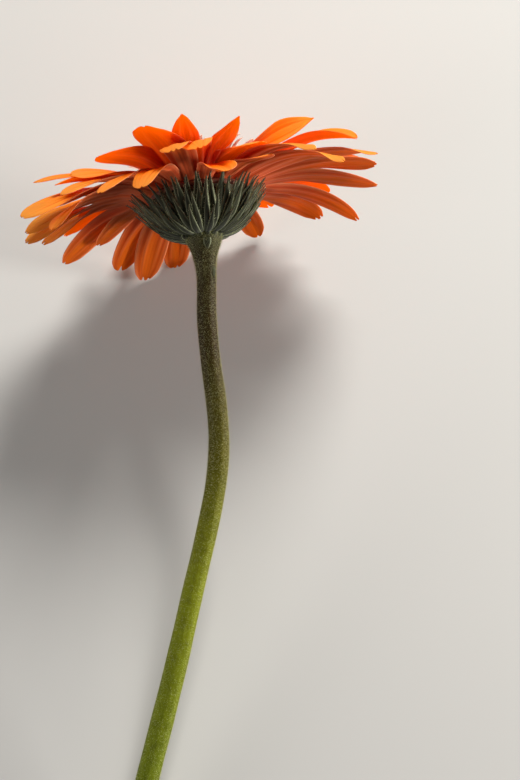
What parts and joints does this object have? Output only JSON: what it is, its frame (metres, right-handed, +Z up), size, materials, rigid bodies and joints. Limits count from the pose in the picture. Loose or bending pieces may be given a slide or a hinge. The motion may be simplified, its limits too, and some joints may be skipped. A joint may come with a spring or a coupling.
{
  "type": "gerbera daisy cut flower",
  "caption": "Cut gerbera daisy lying on its side: toothed orange ray petals in two rows round a pale crown and disc, a green cup of pointed bracts, and a long bare curved stem",
  "frame": {"origin": "on the surface, under the middle of the flower's bounding box", "axes": "+Y along the flower from the cut end of the stem towards the bloom's face, +X across it, +Z up from the surface that it lies on"},
  "size_m": [0.1109, 0.2599, 0.0975],
  "materials": {
    "stem": "matt, finely hairy",
    "bracts": "matt, hairy",
    "petals": "satin, velvety",
    "crown": "satin",
    "disc": "matt"
  },
  "bodies": {
    "root": {"stem": "stem", "involucre": "bracts", "ray_petals": "petals", "crown_florets": "crown", "disc_florets": "disc"}
  },
  "joints": []
}
